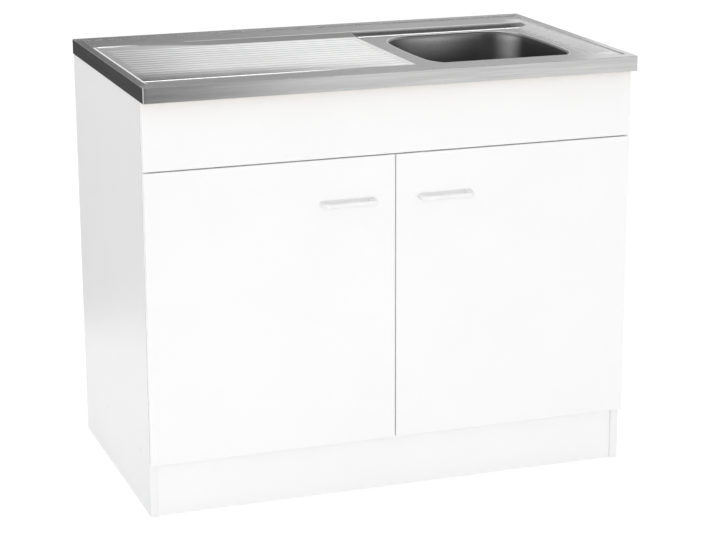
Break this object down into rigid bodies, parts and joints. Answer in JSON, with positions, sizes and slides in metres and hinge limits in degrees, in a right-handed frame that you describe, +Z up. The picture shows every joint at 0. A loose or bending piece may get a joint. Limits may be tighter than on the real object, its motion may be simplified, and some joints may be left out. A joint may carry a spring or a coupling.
{
  "type": "kitchen sink unit",
  "caption": "Kitchen base cabinet with hinged doors, bow handles and a fixed fascia under a lay-on steel sink with ribbed drainer, bowl and trap.",
  "frame": {"origin": "on the floor at the middle of the unit's width and depth", "axes": "+X to the right seen from the front, +Y towards the wall, +Z up"},
  "size_m": [1, 0.607, 0.85],
  "materials": {
    "white_board": "satin melamine coating",
    "white_front": "smooth satin melamine coating",
    "beech_dowel": "raw",
    "zinc_steel": "bright zinc",
    "nickel_steel": "nickel plated",
    "white_plastic": "semi gloss",
    "soft_clear": "soft translucent",
    "stainless": "fine brushed",
    "raw_batten": "raw particle board",
    "damping_pad": "matt",
    "black_rubber": "matt",
    "trap_plastic": "satin"
  },
  "bodies": {
    "cabinet": {"side_panel_left": "white_board", "side_panel_right": "white_board", "bottom_panel": "white_board", "plinth_board": "white_board", "front_rail": "white_board", "rear_rail_upper": "white_board", "rear_rail_lower": "white_board", "dowels": "beech_dowel", "cam_bolts": "zinc_steel", "cam_housings": "zinc_steel", "panel_screws": "zinc_steel", "cover_caps": "white_plastic", "door_buffers": "soft_clear", "fascia_panel": "white_front", "fascia_spacers": "white_plastic", "fascia_screws": "zinc_steel", "hinge_plates": "nickel_steel", "hinge_plate_screws": "zinc_steel", "hinge_arms": "nickel_steel", "hinge_arm_screws": "zinc_steel", "hinge_pins": "nickel_steel", "sink_drainer": "stainless", "sink_edge_front": "stainless", "sink_edge_rear": "stainless", "sink_edge_right": "stainless", "sink_bowl_floor": "stainless", "sink_bowl_sides": "stainless", "sink_bowl_ends": "stainless", "sink_bowl_corners": "stainless", "sink_batten_front": "raw_batten", "sink_batten_rear": "raw_batten", "sink_batten_left": "raw_batten", "sink_batten_right": "raw_batten", "sink_brackets": "zinc_steel", "sink_bracket_screws": "zinc_steel", "sound_pad": "damping_pad", "waste_flange": "stainless", "waste_gasket": "black_rubber", "waste_screw": "stainless", "waste_body": "trap_plastic", "trap_nut": "trap_plastic", "trap_tail_pipe": "trap_plastic", "trap_body": "trap_plastic", "trap_cup": "trap_plastic", "trap_outlet_pipe": "trap_plastic", "trap_outlet_nut": "trap_plastic"},
    "door_left": {"door_left": "white_front", "handle_left": "white_plastic", "handle_screws_left": "zinc_steel", "hinge_cups_left": "nickel_steel", "hinge_cup_screws_left": "zinc_steel"},
    "door_right": {"door_right": "white_front", "handle_right": "white_plastic", "handle_screws_right": "zinc_steel", "hinge_cups_right": "nickel_steel", "hinge_cup_screws_right": "zinc_steel"},
    "links_left": {"hinge_links_left": "nickel_steel"},
    "links_right": {"hinge_links_right": "nickel_steel"},
    "drain_plug": {"drain_plug": "black_rubber"}
  },
  "joints": [
    {"name": "door_left_hinge", "type": "hinge", "parent": "cabinet", "child": "door_left", "pos_m": [-0.4915, -0.2695, 0.4], "axis": [0, 0, -1], "range_deg": [0, 100]},
    {"name": "door_right_hinge", "type": "hinge", "parent": "cabinet", "child": "door_right", "pos_m": [0.4915, -0.2695, 0.4], "axis": [0, 0, 1], "range_deg": [0, 100]},
    {"name": "links_left_pivot", "type": "hinge", "parent": "cabinet", "child": "links_left", "pos_m": [-0.477, -0.265, 0.4], "axis": [0, 0, -1], "range_deg": [0, 100]},
    {"name": "links_right_pivot", "type": "hinge", "parent": "cabinet", "child": "links_right", "pos_m": [0.477, -0.265, 0.4], "axis": [0, 0, 1], "range_deg": [0, 100]},
    {"name": "plug_lift", "type": "slide", "parent": "cabinet", "child": "drain_plug", "axis": [0, 0, 1], "range_m": [0, 0.12]}
  ],
  "couplings": [
    {"joint": "links_left_pivot", "follows": "door_left_hinge", "ratio": 1},
    {"joint": "links_right_pivot", "follows": "door_right_hinge", "ratio": 1}
  ]
}
